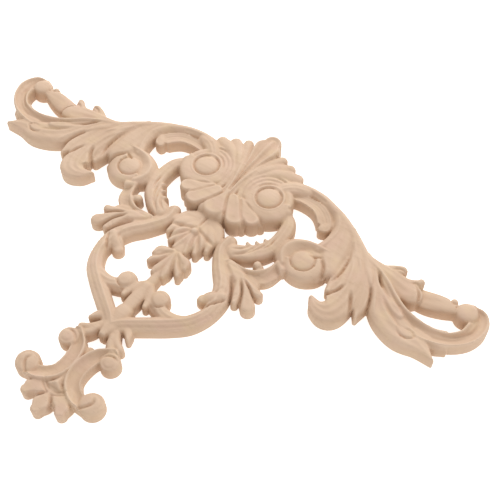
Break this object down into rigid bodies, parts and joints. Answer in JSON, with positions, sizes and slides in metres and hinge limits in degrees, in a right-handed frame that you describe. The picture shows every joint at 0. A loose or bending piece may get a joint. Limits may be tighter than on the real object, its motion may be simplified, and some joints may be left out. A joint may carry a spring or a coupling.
{
  "type": "carved wood applique",
  "caption": "Flat-backed pierced wood carving for furniture or panelling: leafy wings either side of a shell, with a drop of scrolls and husks below.",
  "frame": {"origin": "on the flat back, behind the middle of the shell", "axes": "+Z out of the carved face, away from the flat back; +X along the spread of the wings; +Y towards the tip of the shell, with the drop of scrolls towards -Y"},
  "size_m": [0.3152, 0.2095, 0.013],
  "materials": {
    "carved_wood": "bare, sanded, unvarnished"
  },
  "bodies": {
    "root": {"carved_applique": "carved_wood"}
  },
  "joints": []
}
